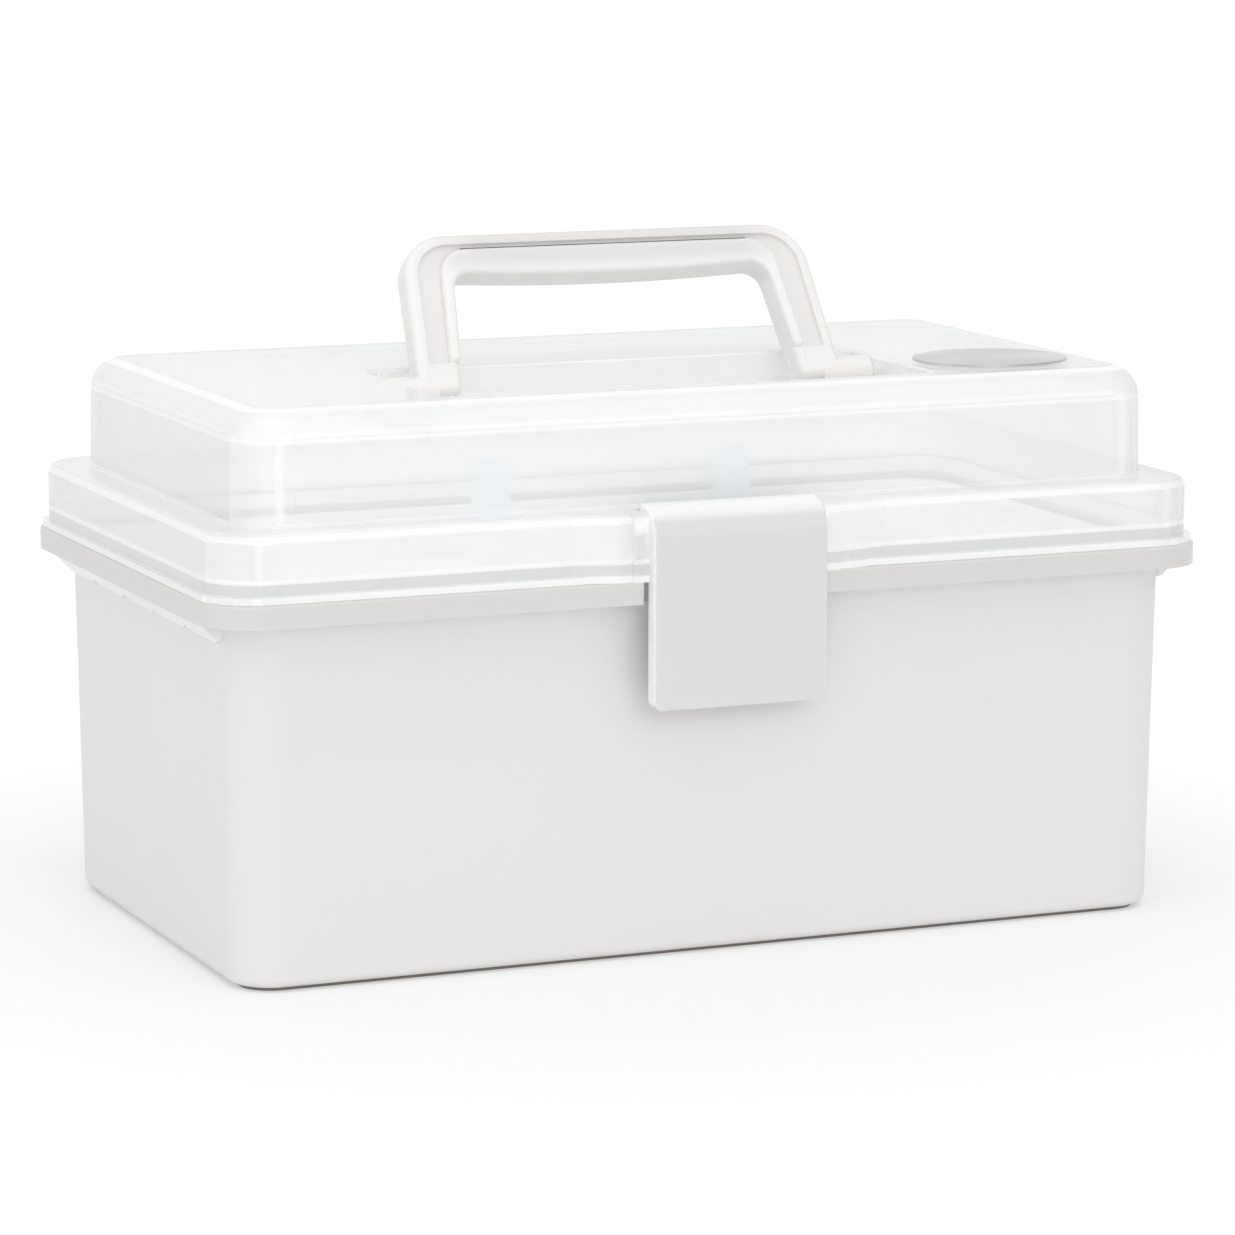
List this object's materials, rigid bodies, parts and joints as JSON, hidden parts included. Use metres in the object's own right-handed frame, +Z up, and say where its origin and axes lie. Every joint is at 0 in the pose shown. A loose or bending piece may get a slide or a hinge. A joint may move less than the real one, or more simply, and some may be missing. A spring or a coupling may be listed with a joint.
{
  "type": "lidded storage case",
  "caption": "Open box base with a clear domed lid on rear hinges, a front latch, a fold-down carry handle and a lift-out tray.",
  "frame": {"origin": "centre of the flat bottom that the case stands on", "axes": "+Z up, +X along the case, -Y is the front with the latch"},
  "size_m": [0.33, 0.2052, 0.2138],
  "materials": {
    "white_shell": "satin moulded polypropylene",
    "clear_lid": "clear to slightly milky moulded polypropylene",
    "badge_metal": "satin silver foil plate, bare",
    "white_latch": "semi-gloss moulded polypropylene",
    "white_handle": "semi-gloss moulded polypropylene",
    "white_tray": "satin moulded polypropylene"
  },
  "bodies": {
    "base": {"base_shell": "white_shell"},
    "lid": {"lid_shell": "clear_lid", "lid_badge": "badge_metal"},
    "latch": {"front_latch": "white_latch"},
    "handle": {"carry_handle": "white_handle"},
    "tray": {"lift_out_tray": "white_tray"}
  },
  "joints": [
    {"name": "lid_hinge", "type": "hinge", "parent": "base", "child": "lid", "pos_m": [0, 0.1005, 0.1197], "axis": [-1, 0, 0], "range_deg": [0, 105]},
    {"name": "latch_hinge", "type": "hinge", "parent": "lid", "child": "latch", "pos_m": [0, -0.0925, 0.134], "axis": [-1, 0, 0], "range_deg": [0, 110]},
    {"name": "handle_fold", "type": "hinge", "parent": "lid", "child": "handle", "pos_m": [0, -0.014, 0.168], "axis": [1, 0, 0], "range_deg": [0, 121]},
    {"name": "tray_lift", "type": "slide", "parent": "base", "child": "tray", "axis": [0, 0, 1], "range_m": [0, 0.014]}
  ]
}
